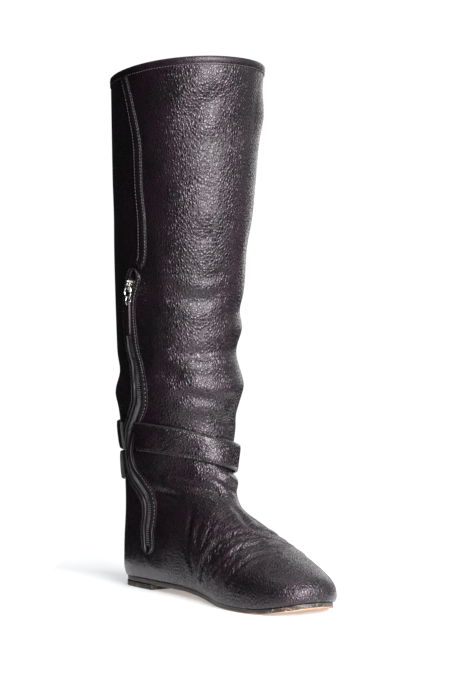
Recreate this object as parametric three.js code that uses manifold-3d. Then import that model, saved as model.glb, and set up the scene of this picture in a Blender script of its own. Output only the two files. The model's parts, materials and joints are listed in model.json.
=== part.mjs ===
// A knee-high flat boot for the left foot: one-piece vamp and shaft, medial zip and a double ankle strap.
// Millimetres, +Z up, toe towards -Y, medial side towards -X, standing on z = 0.
import * as THREE from 'three';
import { mergeVertices } from 'three/addons/utils/BufferGeometryUtils.js';
import Module from 'manifold-3d';

const wasm = await Module();
wasm.setup();

// ---------------------------------------------------------------- driving sizes
const WALL = 2.0;             // leather and lining together
const GAP = 0.3;              // air left between neighbouring pieces
const SOLE = 4.2;             // outsole thickness
const TOP_PIECE = 4.3;        // rubber top piece under the heel
const HEEL_LIFT = TOP_PIECE + GAP;
const TOE_Y = -132;           // front end of the outsole
const HEEL_Y = 132;           // back end of the outsole
const HEEL_BREAST_Y = 66;     // front edge of the heel
const TREAD_BACK_Y = -34;     // the forefoot lies flat between these two places
const TREAD_FRONT_Y = -88;
const TOE_SPRING = 7.5;
const ARCH_RISE = 1.6;        // extra height of the waist above the heel
const INSOLE = 2.4;
const SOLE_EDGE = 1.3;        // how far the sole stands out beyond the upper
const RINGS = 48;             // sections along the upper
const AROUND = 38;            // points round each section
const ZIP_WINDOW = 4.3;       // half width of the opening between the zip's leather edges
const ZIP_TAPE = 6.7;         // half width of the tape behind it
const BEHIND = -WALL - 1.2;   // height of the tape's face, measured from the outside of the leather
const TAPE_THICK = 0.9;
const COIL = 2.6;             // half width of the coil
const COIL_TOP = -0.5;        // height of the coil's face
const SLIDER_AT = 0.945;      // where the slider sits, as a share of the zip's length
const SLIDER = { half: 3.8, length: 11.5, top: 2.2, bottom: 0.1 };
const BRIDGE = { half: 4.1, height: 4.4, tunnelHalf: 2.7, tunnelHeight: 3.0, width: 1.8 };
const RING = { half: 4.2, drop: 5.8, wire: 0.75 };
const LINK = { half: 2.3, drop: 3.3, wire: 0.5 };
const TAB = { length: 29, top: 5.4, bottom: 7.6, thick: 2.0, hole: 1.3 };
const STRAP_WIDTH = 24;
const STRAP_THICK = 2.8;

const BLACK_LEATHER = 0x17151a;
const NICKEL = 0xa09c96;

const DEG = Math.PI / 180;
const { lerp, smoothstep, smootherstep, clamp } = THREE.MathUtils;

// ---------------------------------------------------------------- the last
// One row per section from toe tip to collar. Each section lies in the plane through the line from its
// front (or top) point to its back (or bottom) point. A row gives front y and z, back y and z, medial and
// lateral half widths about mid, seat (where along the line it is widest), low and high (how square it is
// at the back and at the front).
const SECTIONS = [
  [-130.6, 18.5, -130.6, 14.5, 2, 2, -3, 0.5, 2, 2],
  [-129.0, 23.5, -129.8, 10.5, 11, 11, -3, 0.42, 2.2, 2.1],
  [-123.5, 29.0, -125.0, 7.5, 20, 20.5, -3, 0.36, 2.6, 2.1],
  [-113.0, 34.0, -115.0, 4.0, 29, 30, -2.5, 0.32, 3.2, 2.1],
  [-96.0, 39.5, -97.0, 0.5, 37, 38.5, -2, 0.28, 3.8, 2.1],
  [-75.0, 46.0, -75.0, -1.5, 41.5, 44.5, -1, 0.26, 4, 2.1],
  [-52.0, 54.0, -50.0, -2.0, 41, 47, 0, 0.25, 4, 2.05],
  [-30.0, 64.0, -24.0, 0.0, 36, 44, 0.5, 0.26, 3.6, 1.95],
  [-10.0, 75.0, 6.0, 3.5, 33, 39, 0.5, 0.3, 3.8, 1.9],
  [5.0, 87.0, 44.0, 5.0, 32, 36, 0, 0.34, 4.6, 1.85],
  [12.0, 101.0, 84.0, 4.0, 32, 35, 0, 0.38, 5, 1.95],
  [15.0, 116.0, 120.5, 2.5, 33, 36.5, 0, 0.42, 3.7, 2.05],
  [16.0, 130.0, 130.0, 20.0, 34, 38, 0, 0.46, 2.8, 2.1],
  [15.0, 144.0, 127.5, 58.0, 37, 40.5, 0, 0.49, 2.4, 2.1],
  [13.0, 163.0, 125.0, 102.0, 42, 43.5, 0, 0.5, 2.3, 2.1],
  [12.0, 190.0, 129.0, 148.0, 47, 45.5, 0, 0.5, 2.2, 2.1],
  [12.0, 222.0, 129.0, 194.0, 49, 46, 0, 0.5, 2.2, 2.1],
  [8.5, 264.0, 129.5, 245.0, 51.5, 49.5, 0, 0.5, 2.2, 2.1],
  [2.5, 315.0, 131.0, 303.0, 53.5, 55, 0, 0.5, 2.2, 2.1],
  [-2.0, 375.0, 131.5, 365.0, 55.5, 60, 0, 0.5, 2.2, 2.1],
  [-6.0, 440.0, 131.5, 427.0, 57.5, 65, 0, 0.5, 2.2, 2.1],
].map(([frontY, frontZ, backY, backZ, medial, lateral, mid, seat, low, high]) => (
  { front: [frontY, frontZ], back: [backY, backZ], medial, lateral, mid, seat, low, high }));
const LAST = SECTIONS.length - 1;

// Slouch folds as soft ridges (+) and troughs (-): height and angle of the middle (0 front, 90 lateral,
// 180 back, 270 medial), reach round the leg in degrees, width up the leg, slope in mm per 90 degrees.
const FOLDS = [
  { z: 392, at: 15, reach: 60, width: 24, rise: -2.4, slope: 40 },
  { z: 330, at: 300, reach: 60, width: 20, rise: -1.6, slope: 20 },
  { z: 284, at: 70, reach: 60, width: 13, rise: 1.2, slope: -14 },
  { z: 236, at: 60, reach: 70, width: 10, rise: -2.0, slope: 8 },
  { z: 222, at: 70, reach: 60, width: 9, rise: 1.6, slope: 6 },
  { z: 200, at: 50, reach: 80, width: 12, rise: -3.2, slope: -6 },
  { z: 173, at: 60, reach: 90, width: 11, rise: 3.4, slope: 6 },
  { z: 186, at: 250, reach: 60, width: 10, rise: -2.4, slope: 8 },
  { z: 166, at: 235, reach: 60, width: 10, rise: 2.4, slope: 8 },
  { z: 146, at: 40, reach: 80, width: 9, rise: -1.6, slope: 4 },
  { z: 91, at: 35, reach: 45, width: 9, rise: 2.6, slope: -6 },
  { z: 72, at: 25, reach: 40, width: 7, rise: -1.8, slope: -14 },
];

// ---------------------------------------------------------------- interpolation
const spline = (a, b, c, d, t) => 0.5 * (2 * b + (c - a) * t + (2 * a - 5 * b + 4 * c - d) * t * t
  + (3 * b - a - 3 * c + d) * t * t * t);

// The section's own sizes at a place s between 0 (toe tip) and LAST (collar).
function sectionAt(s) {
  const i = clamp(Math.floor(s), 0, LAST - 1);
  const rows = [i - 1, i, i + 1, i + 2].map((k) => SECTIONS[clamp(k, 0, LAST)]);
  const mix = (pick) => spline(...rows.map(pick), s - i);
  return {
    front: new THREE.Vector2(mix((r) => r.front[0]), mix((r) => r.front[1])),
    back: new THREE.Vector2(mix((r) => r.back[0]), mix((r) => r.back[1])),
    medial: mix((r) => r.medial),
    lateral: mix((r) => r.lateral),
    mid: mix((r) => r.mid),
    seat: mix((r) => r.seat),
    low: mix((r) => r.low),
    high: mix((r) => r.high),
  };
}

// A point of the last: angle 0 is the front or top, 90 degrees lateral, 180 back or underneath.
function lastPoint(s, angle) {
  const row = sectionAt(s);
  const line = row.front.clone().sub(row.back);
  const across = Math.sin(angle);
  const along = Math.cos(angle);
  const power = 2 / (along > 0 ? row.high : row.low);
  const half = across > 0 ? row.lateral : row.medial;
  const reach = along > 0 ? 1 - row.seat : row.seat;
  const x = row.mid + half * Math.sign(across) * Math.abs(across) ** power;
  const v = row.seat + reach * Math.sign(along) * Math.abs(along) ** power;
  return new THREE.Vector3(x, row.back.x + line.x * v, row.back.y + line.y * v);
}

function normalOf(point, s, angle) {
  const ds = s > LAST - 0.05 ? -0.02 : 0.02;
  const da = 0.01;
  const here = point(s, angle - da);
  const along = point(s + ds, angle).sub(point(s, angle)).multiplyScalar(Math.sign(ds));
  return point(s, angle + da).sub(here).cross(along).normalize();
}

// Height of the slouch folds at a point of the last.
function foldHeight(p, angle) {
  const degrees = angle / DEG;
  return FOLDS.reduce((sum, fold) => {
    const turn = ((degrees - fold.at + 540) % 360) - 180;
    const u = (p.z - fold.z - fold.slope * turn / 90) / fold.width;
    const w = turn / fold.reach;
    return sum + fold.rise * Math.exp(-u * u - w * w);
  }, 0);
}

// The plain last grown outwards by an offset, and the slouched leather surface grown in the same way.
function plainSkin(s, angle, offset) {
  return lastPoint(s, angle).addScaledVector(normalOf(lastPoint, s, angle), offset);
}
function slouched(s, angle) {
  const p = lastPoint(s, angle);
  return p.addScaledVector(normalOf(lastPoint, s, angle), foldHeight(p, angle));
}
function skin(s, angle, offset) {
  return slouched(s, angle).addScaledVector(normalOf(slouched, s, angle), offset);
}

// ---------------------------------------------------------------- the sole's height along the foot
function soleBottom(y) {
  const heel = HEEL_LIFT;
  if (y < TREAD_FRONT_Y) return TOE_SPRING * ((TREAD_FRONT_Y - y) / (TREAD_FRONT_Y - TOE_Y)) ** 1.8;
  if (y < TREAD_BACK_Y) return 0;
  const t = (y - TREAD_BACK_Y) / (HEEL_BREAST_Y - TREAD_BACK_Y);
  if (t < 1) return heel * smoothstep(t, 0, 1) + ARCH_RISE * Math.sin(Math.PI * t) ** 2;
  return heel;
}
const soleTop = (y) => soleBottom(y) + SOLE;

// ---------------------------------------------------------------- mesh helpers
function meshOf(points, triangles) {
  const geometry = new THREE.BufferGeometry();
  const numbers = points.flatMap((p) => [p.x, p.y, p.z]);
  geometry.setAttribute('position', new THREE.Float32BufferAttribute(numbers, 3));
  geometry.setIndex(triangles.flat());
  return geometry;
}

// Triangles of the walls between neighbouring rings of n points.
function walls(count, n) {
  const triangles = [];
  for (let i = 0; i + 1 < count; i += 1) {
    for (let j = 0; j < n; j += 1) {
      const a = i * n + j;
      const b = i * n + (j + 1) % n;
      triangles.push([a, b, b + n], [a, b + n, a + n]);
    }
  }
  return triangles;
}

// Closed skin through a list of rings, each end closed by a fan about its middle.
function loft(rings) {
  const n = rings[0].length;
  const points = rings.flat();
  const triangles = walls(rings.length, n);
  [0, rings.length - 1].forEach((i) => {
    const middle = rings[i].reduce((sum, p) => sum.add(p), new THREE.Vector3()).divideScalar(n);
    points.push(middle);
    const c = points.length - 1;
    for (let j = 0; j < n; j += 1) {
      const a = i * n + j;
      const b = i * n + (j + 1) % n;
      triangles.push(i === 0 ? [c, b, a] : [c, a, b]);
    }
  });
  return outward(meshOf(points, triangles));
}

// Closed skin through a list of rings that are all the same flat profile, which need not be convex.
function strip(rings, profile) {
  const n = profile.length;
  const triangles = walls(rings.length, n);
  const corners = profile.map(([u, v]) => new THREE.Vector2(u, v));
  const turned = THREE.ShapeUtils.isClockWise(corners);
  const last = (rings.length - 1) * n;
  THREE.ShapeUtils.triangulateShape(corners, []).forEach(([a, b, c]) => {
    if (turned) [b, c] = [c, b];
    triangles.push([c, b, a], [a + last, b + last, c + last]);
  });
  return outward(meshOf(rings.flat(), triangles));
}

// Turns every face over when the body is inside out.
function outward(geometry) {
  const p = geometry.getAttribute('position');
  const index = geometry.getIndex().array;
  const [a, b, c] = [new THREE.Vector3(), new THREE.Vector3(), new THREE.Vector3()];
  let volume = 0;
  for (let i = 0; i < index.length; i += 3) {
    a.fromBufferAttribute(p, index[i]);
    b.fromBufferAttribute(p, index[i + 1]);
    c.fromBufferAttribute(p, index[i + 2]);
    volume += a.dot(b.cross(c));
  }
  if (volume < 0) {
    for (let i = 0; i < index.length; i += 3) [index[i + 1], index[i + 2]] = [index[i + 2], index[i + 1]];
  }
  return geometry;
}

function toManifold(geometry) {
  const plain = geometry.clone();
  plain.deleteAttribute('normal');
  plain.deleteAttribute('uv');
  const merged = mergeVertices(plain, 1e-4);
  return new wasm.Manifold(new wasm.Mesh({
    numProp: 3,
    vertProperties: new Float32Array(merged.getAttribute('position').array),
    triVerts: new Uint32Array(merged.getIndex().array),
  }));
}

function fromManifold(solid) {
  const mesh = solid.getMesh();
  const geometry = new THREE.BufferGeometry();
  geometry.setAttribute('position', new THREE.BufferAttribute(new Float32Array(mesh.vertProperties), 3));
  geometry.setIndex(new THREE.BufferAttribute(new Uint32Array(mesh.triVerts), 1));
  return geometry;
}

const boot = new THREE.Group();
boot.name = 'knee_high_boot';

function add(name, geometry, color, roughness, metalness = 0) {
  const mesh = new THREE.Mesh(geometry, new THREE.MeshStandardMaterial({ color, roughness, metalness }));
  mesh.name = name;
  boot.add(mesh);
}

// ---------------------------------------------------------------- upper
// Angles that space AROUND points evenly round a section, starting at its front.
function evenAngles(s) {
  const quarter = 100;
  const turn = (i) => (Math.floor(i / quarter) + smootherstep(i % quarter, 0, quarter)) * Math.PI / 2;
  const run = [0];
  for (let i = 1; i <= 4 * quarter; i += 1) {
    run.push(run[i - 1] + lastPoint(s, turn(i)).distanceTo(lastPoint(s, turn(i - 1))));
  }
  let i = 0;
  return Array.from({ length: AROUND }, (_, j) => {
    const wanted = run[4 * quarter] * j / AROUND;
    while (run[i + 1] < wanted) i += 1;
    return turn(i + (wanted - run[i]) / (run[i + 1] - run[i]));
  });
}

// The closed sock: rings from toe tip to collar, grown by an offset and raised at the collar when asked.
function sock(offset, extra = 0) {
  const rings = [];
  for (let i = 0; i <= RINGS; i += 1) {
    const s = 0.03 + (LAST - 0.03) * i / RINGS;
    rings.push(evenAngles(s).map((angle) => skin(s, angle, offset)));
  }
  if (extra) rings.push(rings[RINGS].map((p) => p.clone().add(new THREE.Vector3(0, 0, extra))));
  return loft(rings);
}

// Everything below the line where the upper meets the sole.
function belowFeather() {
  const shape = new THREE.Shape();
  shape.moveTo(TOE_Y - 12, -30);
  shape.lineTo(HEEL_Y + 12, -30);
  for (let y = HEEL_Y + 12; y >= TOE_Y - 12; y -= 4) shape.lineTo(y, soleTop(y) + GAP);
  const block = new THREE.ExtrudeGeometry(shape, { depth: 160, bevelEnabled: false });
  const axes = new THREE.Matrix4().makeBasis(
    new THREE.Vector3(0, 1, 0), new THREE.Vector3(0, 0, 1), new THREE.Vector3(1, 0, 0));
  return block.applyMatrix4(axes).translate(-80, 0, 0);
}

// ---------------------------------------------------------------- the zip's line up the medial side
// Places on the medial side as [y, z], from near the sole up to the top of the zip.
const ZIP_LINE = [
  [69, 31], [70, 42], [70, 52], [67, 64], [68, 77], [76, 88], [86, 97], [91, 108], [90, 121], [82, 135],
  [71, 147], [62, 159], [60, 172], [65, 186], [69, 204], [71, 228], [69, 245], [63, 259], [58, 269],
];
const zipCurve = new THREE.CatmullRomCurve3(ZIP_LINE.map(([y, z]) => new THREE.Vector3(0, y, z)));

// Section and angle where the medial side of the last passes through a given y and z. The section is the one
// whose line from back to front runs through the place, and the angle follows from how far along it that is.
function findPlace(y, z) {
  const at = new THREE.Vector2(y, z);
  const from = (row) => [at.clone().sub(row.back), row.front.clone().sub(row.back)];
  let [lo, hi] = [8, LAST];
  for (let i = 0; i < 40; i += 1) {
    const middle = (lo + hi) / 2;
    const [offset, line] = from(sectionAt(middle));
    if (line.cross(offset) < 0) lo = middle; else hi = middle;
  }
  const s = Math.min((lo + hi) / 2, LAST - 0.1);
  const row = sectionAt(s);
  const [offset, line] = from(row);
  const v = offset.dot(line) / line.lengthSq() - row.seat;
  const reach = v > 0 ? 1 - row.seat : row.seat;
  const square = v > 0 ? row.high : row.low;
  const along = Math.sign(v) * Math.min(Math.abs(v) / reach, 1) ** (square / 2);
  return { s, angle: 2 * Math.PI - Math.acos(along) };
}

// A point beside the zip's line: t up the line, across towards the front, height above the leather.
function besideZip(t, across, height) {
  const at = zipCurve.getPointAt(t);
  const along = zipCurve.getTangentAt(t);
  const { s, angle } = findPlace(at.y - across * along.z, at.z + across * along.y);
  return skin(s, angle, height);
}

// A strip laid along the zip's line. The profile's corners are [across, height above the leather].
function alongZip(profile, from, to, steps) {
  const rings = Array.from({ length: steps + 1 }, (_, i) =>
    profile.map(([across, height]) => besideZip(lerp(from, to, i / steps), across, height)));
  return strip(rings, profile);
}

const windowProfile = [[-ZIP_WINDOW, -5], [ZIP_WINDOW, -5], [ZIP_WINDOW, 5], [-ZIP_WINDOW, 5]];
const upper = toManifold(sock(0))
  .subtract(toManifold(sock(-WALL, 6)))
  .subtract(toManifold(belowFeather()))
  .subtract(toManifold(alongZip(windowProfile, 0.01, 0.985, 48)));
add('upper', fromManifold(upper), BLACK_LEATHER, 0.45);

// ---------------------------------------------------------------- sole outlines
// Where the surface grown by an offset crosses the height soleTop + rise, in medial and lateral rows.
function footOutline(offset, rise, count) {
  const above = (s, angle) => {
    const p = skin(s, angle, offset);
    return p.z - soleTop(p.y) - rise;
  };
  const solve = (test, lo, hi) => {
    for (let i = 0; i < 40; i += 1) {
      const middle = (lo + hi) / 2;
      if (test(middle) > 0) lo = middle; else hi = middle;
    }
    return (lo + hi) / 2;
  };
  const first = solve((s) => above(s, Math.PI), 0.03, 6);
  const final = solve((s) => -above(s, Math.PI), 10, 14);
  const rows = [];
  for (let i = 0; i <= count; i += 1) {
    const s = lerp(first, final, (1 - Math.cos(Math.PI * i / count)) / 2);
    const end = i === 0 || i === count;
    const lateral = end ? Math.PI : solve((a) => above(s, a), 0.3, Math.PI);
    const medial = end ? Math.PI : 2 * Math.PI - solve((a) => above(s, 2 * Math.PI - a), 0.3, Math.PI);
    rows.push({ lateral: skin(s, lateral, offset), medial: skin(s, medial, offset) });
  }
  return rows;
}

// The outline as one loop, heel to toe up the lateral side and back down the medial side.
function loopOf(rows) {
  const lateral = rows.map((r) => r.lateral);
  const medial = rows.slice(1, -1).map((r) => r.medial).reverse();
  return [...lateral, ...medial];
}

function grown(loop, distance) {
  return loop.map((p, i) => {
    const before = loop[(i + loop.length - 1) % loop.length];
    const after = loop[(i + 1) % loop.length];
    const side = new THREE.Vector2(after.y - before.y, before.x - after.x).normalize();
    return new THREE.Vector3(p.x - side.x * distance, p.y - side.y * distance, p.z);
  });
}

// A plate between two loops of the same rows, its faces laddered from side to side.
function plate(lower, upperLoop) {
  const n = lower.length;
  const half = n / 2;
  const points = [...lower, ...upperLoop];
  const triangles = [];
  for (let i = 0; i < n; i += 1) {
    const j = (i + 1) % n;
    triangles.push([i, j, j + n], [i, j + n, i + n]);
  }
  for (let i = 0; i < half; i += 1) {
    const [a, b, c, d] = [i, i + 1, (n - i - 1) % n, (n - i) % n];
    [[a, b, c], [a, c, d]].forEach(([p, q, r]) => {
      if (p === q || q === r || p === r) return;
      triangles.push([r, q, p], [p + n, q + n, r + n]);
    });
  }
  return outward(meshOf(points, triangles));
}

const feather = loopOf(footOutline(0, 0.6, 46));
const soleLoop = grown(feather, SOLE_EDGE);
const atHeight = (loop, height) => loop.map((p) => new THREE.Vector3(p.x, p.y, height(p.y)));
add('outsole', plate(atHeight(soleLoop, soleBottom), atHeight(soleLoop, soleTop)), 0x2a211c, 0.6);

const insoleLoop = (rise) => atHeight(loopOf(footOutline(-WALL - 1.3, rise, 30)), (y) => soleTop(y) + rise);
add('insole', plate(insoleLoop(GAP), insoleLoop(GAP + INSOLE)), 0x8a6a4c, 0.7);

// The heel's rubber top piece: the back of the sole's outline, a little smaller, standing on the floor.
const heelPoints = grown(soleLoop, -0.3).filter((p) => p.y > HEEL_BREAST_Y);
const heelShape = new THREE.Shape(heelPoints.map((p) => new THREE.Vector2(p.x, p.y)));
const heelBlock = new THREE.ExtrudeGeometry(heelShape, { depth: TOP_PIECE, bevelEnabled: false });
add('heel_top_piece', heelBlock, 0x151312, 0.8);

// ---------------------------------------------------------------- zip
const tapeProfile = [
  [-ZIP_TAPE, BEHIND - TAPE_THICK], [0, BEHIND - TAPE_THICK], [ZIP_TAPE, BEHIND - TAPE_THICK],
  [ZIP_TAPE, BEHIND], [COIL, BEHIND], [COIL, COIL_TOP],
  [-COIL, COIL_TOP], [-COIL, BEHIND], [-ZIP_TAPE, BEHIND],
];
add('zip_tape', alongZip(tapeProfile, 0.02, 0.978, 50), 0x0c0c0e, 0.7);

// The slider sits in the window near the top of the zip. Its own axes: across, up the zip and outwards.
const sliderOrigin = besideZip(SLIDER_AT, 0, 0);
const sliderUp = besideZip(SLIDER_AT + 0.01, 0, 0).sub(besideZip(SLIDER_AT - 0.01, 0, 0)).normalize();
const sliderAcross = besideZip(SLIDER_AT, 2, 0).sub(besideZip(SLIDER_AT, -2, 0));
const sliderOut = sliderAcross.clone().cross(sliderUp).normalize();
if (sliderOut.x > 0) sliderOut.negate();
sliderAcross.crossVectors(sliderUp, sliderOut).normalize();
const sliderFrame = new THREE.Matrix4()
  .makeBasis(sliderAcross, sliderUp, sliderOut).setPosition(sliderOrigin);


function sliderBody() {
  const shape = new THREE.Shape();
  const [w, h] = [SLIDER.half, SLIDER.length / 2];
  shape.moveTo(-w * 0.72, -h);
  shape.lineTo(w * 0.72, -h);
  shape.quadraticCurveTo(w * 0.8, 0, w, h * 0.45);
  shape.quadraticCurveTo(w, h, w * 0.3, h);
  shape.lineTo(-w * 0.3, h);
  shape.quadraticCurveTo(-w, h, -w, h * 0.45);
  shape.quadraticCurveTo(-w * 0.8, 0, -w * 0.72, -h);
  const depth = SLIDER.top - SLIDER.bottom;
  return new THREE.ExtrudeGeometry(shape, { depth, bevelEnabled: false, curveSegments: 4 })
    .translate(0, 0, SLIDER.bottom);
}

// An arch standing on the slider along the zip, with a tunnel for the pull's ring.
function bridge() {
  const arch = new THREE.Shape();
  arch.moveTo(-BRIDGE.half, -0.4);
  arch.lineTo(BRIDGE.half, -0.4);
  arch.bezierCurveTo(BRIDGE.half, BRIDGE.height * 1.3, -BRIDGE.half, BRIDGE.height * 1.3, -BRIDGE.half, -0.4);
  const tunnel = new THREE.Path();
  tunnel.moveTo(-BRIDGE.tunnelHalf, 0.1);
  tunnel.bezierCurveTo(-BRIDGE.tunnelHalf, BRIDGE.tunnelHeight * 1.3,
    BRIDGE.tunnelHalf, BRIDGE.tunnelHeight * 1.3, BRIDGE.tunnelHalf, 0.1);
  tunnel.closePath();
  arch.holes.push(tunnel);
  const side = new THREE.Matrix4().makeBasis(
    new THREE.Vector3(0, 1, 0), new THREE.Vector3(0, 0, 1), new THREE.Vector3(1, 0, 0));
  return new THREE.ExtrudeGeometry(arch, { depth: BRIDGE.width, bevelEnabled: false, curveSegments: 8 })
    .applyMatrix4(side).translate(-BRIDGE.width / 2, 0, SLIDER.top);
}
const slider = toManifold(sliderBody()).add(toManifold(bridge()));
add('zip_slider', fromManifold(slider).applyMatrix4(sliderFrame), NICKEL, 0.3, 1);

// The pull hangs plumb from the middle of the tunnel. Its own axes: sideways, up and away from the boot.
const hinge = sliderOrigin.clone().addScaledVector(sliderOut, SLIDER.top + 1.5);
const away = new THREE.Vector3(sliderOut.x, sliderOut.y, 0).normalize();
const sideways = new THREE.Vector3(0, 0, 1).cross(away);
const pullFrame = new THREE.Matrix4()
  .makeBasis(sideways, new THREE.Vector3(0, 0, 1), away).setPosition(hinge);


function oval(half, drop, wire) {
  const turn = new THREE.TorusGeometry(drop, wire, 7, 24);
  turn.scale(half / drop, 1, 1);
  return turn;
}
const linkMiddle = -2 * RING.drop + RING.wire + LINK.wire + GAP - LINK.drop;
const tabHole = linkMiddle - LINK.drop + TAB.hole - LINK.wire - GAP;

function tab() {
  const top = tabHole + TAB.hole + 1.7;
  const shape = new THREE.Shape();
  const [u, v, foot] = [TAB.top / 2, TAB.bottom / 2, top - TAB.length];
  shape.moveTo(-u * 0.6, top);
  shape.lineTo(u * 0.6, top);
  shape.lineTo(u, top - 3);
  shape.lineTo(v, foot + 2.5);
  shape.quadraticCurveTo(v, foot, v - 2.5, foot);
  shape.lineTo(2.5 - v, foot);
  shape.quadraticCurveTo(-v, foot, -v, foot + 2.5);
  shape.lineTo(-u, top - 3);
  shape.closePath();
  shape.holes.push(new THREE.Path(Array.from({ length: 12 }, (_, i) =>
    new THREE.Vector2(TAB.hole, 0).rotateAround(new THREE.Vector2(), i * 30 * DEG)
      .add(new THREE.Vector2(0, tabHole)))));
  return new THREE.ExtrudeGeometry(shape, { depth: TAB.thick, bevelEnabled: false, curveSegments: 6 })
    .translate(0, 0, -TAB.thick / 2);
}
const ring = oval(RING.half, RING.drop, RING.wire).translate(0, -RING.drop, 0);
const link = oval(LINK.half, LINK.drop, LINK.wire).rotateY(Math.PI / 2).translate(0, linkMiddle, 0);
add('zip_ring', ring.applyMatrix4(pullFrame), NICKEL, 0.25, 1);
add('zip_link', link.applyMatrix4(pullFrame), NICKEL, 0.25, 1);
add('zip_tab', tab().applyMatrix4(pullFrame), BLACK_LEATHER, 0.5);

// ---------------------------------------------------------------- ankle straps
// Each row: angle round the leg, height of the band's middle, clear height above the plain last.
const LONG_STRAP = [
  { angle: 269, z: 130, lift: 0.7 }, { angle: 290, z: 129, lift: 0.9 }, { angle: 325, z: 125, lift: 1.2 },
  { angle: 360, z: 118.5, lift: 1.8 }, { angle: 395, z: 113, lift: 3.4 }, { angle: 430, z: 109, lift: 4.4 },
  { angle: 465, z: 107.5, lift: 4.4 }, { angle: 500, z: 106, lift: 4.3 }, { angle: 520, z: 105, lift: 3.8 },
  { angle: 545, z: 103.5, lift: 3.2 }, { angle: 572, z: 104, lift: 1.0 }, { angle: 598, z: 104, lift: 0.7 },
];
const SHORT_STRAP = [
  { angle: 248, z: 129.5, lift: 0.7 }, { angle: 230, z: 130, lift: 0.7 }, { angle: 200, z: 130.5, lift: 0.9 },
  { angle: 175, z: 131, lift: 0.9 }, { angle: 150, z: 125, lift: 0.9 }, { angle: 120, z: 115, lift: 0.9 },
  { angle: 90, z: 110, lift: 0.9 }, { angle: 62, z: 110, lift: 0.9 },
];

// The section whose rim passes a given height at an angle round the ankle.
function sectionAtHeight(angle, z) {
  let [lo, hi] = [8, LAST];
  for (let i = 0; i < 30; i += 1) {
    const middle = (lo + hi) / 2;
    if (lastPoint(middle, angle).z < z) lo = middle; else hi = middle;
  }
  return (lo + hi) / 2;
}

function strap(rows, steps) {
  const stops = rows.map((r) => new THREE.Vector3(r.angle, r.z, r.lift));
  const curve = new THREE.CatmullRomCurve3(stops, false, 'centripetal');
  const across = [0, 0.33, 0.67, 1];
  const profile = [...across.map((v) => [v, 0]), ...across.map((v) => [1 - v, STRAP_THICK])];
  const rings = Array.from({ length: steps + 1 }, (_, i) => {
    const at = curve.getPoint(i / steps);
    const angle = at.x * DEG;
    return profile.map(([v, height]) => {
      const s = sectionAtHeight(angle, at.y + (v - 0.5) * STRAP_WIDTH);
      return plainSkin(s, angle, at.z + height);
    });
  });
  return strip(rings, profile.map(([v, h]) => [v * STRAP_WIDTH, h]));
}
add('strap_long', strap(LONG_STRAP, 52), BLACK_LEATHER, 0.42);
add('strap_short', strap(SHORT_STRAP, 34), BLACK_LEATHER, 0.42);

// The part's own frame has its origin on the floor, under the middle of its bounding box.
const bounds = new THREE.Box3().setFromObject(boot);
const middle = bounds.getCenter(new THREE.Vector3());
boot.position.set(-middle.x, -middle.y, -bounds.min.z);

export default boot;
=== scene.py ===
# %% [markdown]
# # A knee-high boot
# The boot is a left one: a wide, slouched leather shaft cut in one piece with the vamp, a zip up the medial
# side, and an ankle strap wound twice round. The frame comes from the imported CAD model, in metres, with +Z
# up, the toe towards -Y and the zip towards -X. Everything below is drawn in that frame.

# %% Frame
import json
import math
import bmesh
import bpy
import numpy as np
from mathutils import Vector, Matrix


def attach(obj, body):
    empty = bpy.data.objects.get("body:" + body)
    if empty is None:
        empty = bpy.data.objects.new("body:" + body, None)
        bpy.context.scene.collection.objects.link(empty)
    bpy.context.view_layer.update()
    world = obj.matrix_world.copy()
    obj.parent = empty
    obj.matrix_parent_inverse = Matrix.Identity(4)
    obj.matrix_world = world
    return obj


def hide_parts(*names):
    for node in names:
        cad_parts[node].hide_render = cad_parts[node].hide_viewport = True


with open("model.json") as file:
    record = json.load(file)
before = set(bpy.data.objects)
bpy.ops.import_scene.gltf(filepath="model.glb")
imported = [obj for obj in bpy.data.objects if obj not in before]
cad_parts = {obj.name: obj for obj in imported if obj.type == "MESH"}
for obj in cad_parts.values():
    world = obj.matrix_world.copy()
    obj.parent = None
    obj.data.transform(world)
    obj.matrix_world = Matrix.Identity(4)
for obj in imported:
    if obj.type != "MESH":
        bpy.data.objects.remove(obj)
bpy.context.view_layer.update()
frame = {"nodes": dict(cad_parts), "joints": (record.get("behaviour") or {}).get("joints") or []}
MM = 0.001

# %% [markdown]
# ## Camera
# The boot is seen from in front and from the zip's side, a little over a third of a right angle round from
# its toe, from half-way up the shaft. An ordinary lens close by would spread the collar and shrink the
# sole. A long lens from well back keeps the shaft's sides nearly parallel.

# %% Camera
VIEW_TURN = math.radians(-33.6)
EYE_DISTANCE, EYE_HEIGHT = 1.64, 0.222
LOOK_AT = Vector((0.008, 0.012, 0.207))

eye = Vector((math.sin(VIEW_TURN) * EYE_DISTANCE, -math.cos(VIEW_TURN) * EYE_DISTANCE, EYE_HEIGHT))
camera_data = bpy.data.cameras.new("camera")
camera_data.lens = 105
camera_data.sensor_width = 36
camera = bpy.data.objects.new("camera", camera_data)
bpy.context.collection.objects.link(camera)
camera.location = eye
camera.rotation_euler = (LOOK_AT - eye).to_track_quat("-Z", "Y").to_euler()
bpy.context.scene.camera = camera
print("camera at", [round(v, 3) for v in eye])

# %% [markdown]
# ## Floor
# The floor is one pale plane, with a faint glow of its own so that it stays white. Polished leather mirrors
# it, so the strip stops short beside the zip's side: that side then has nothing bright to mirror and stays
# black.

# %% Floor
def deselect():
    if bpy.context.object and bpy.context.object.mode != "OBJECT":
        bpy.ops.object.mode_set(mode="OBJECT")
    bpy.ops.object.select_all(action="DESELECT")


def make_active(piece):
    deselect()
    bpy.context.view_layer.objects.active = piece
    piece.select_set(True)


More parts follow.
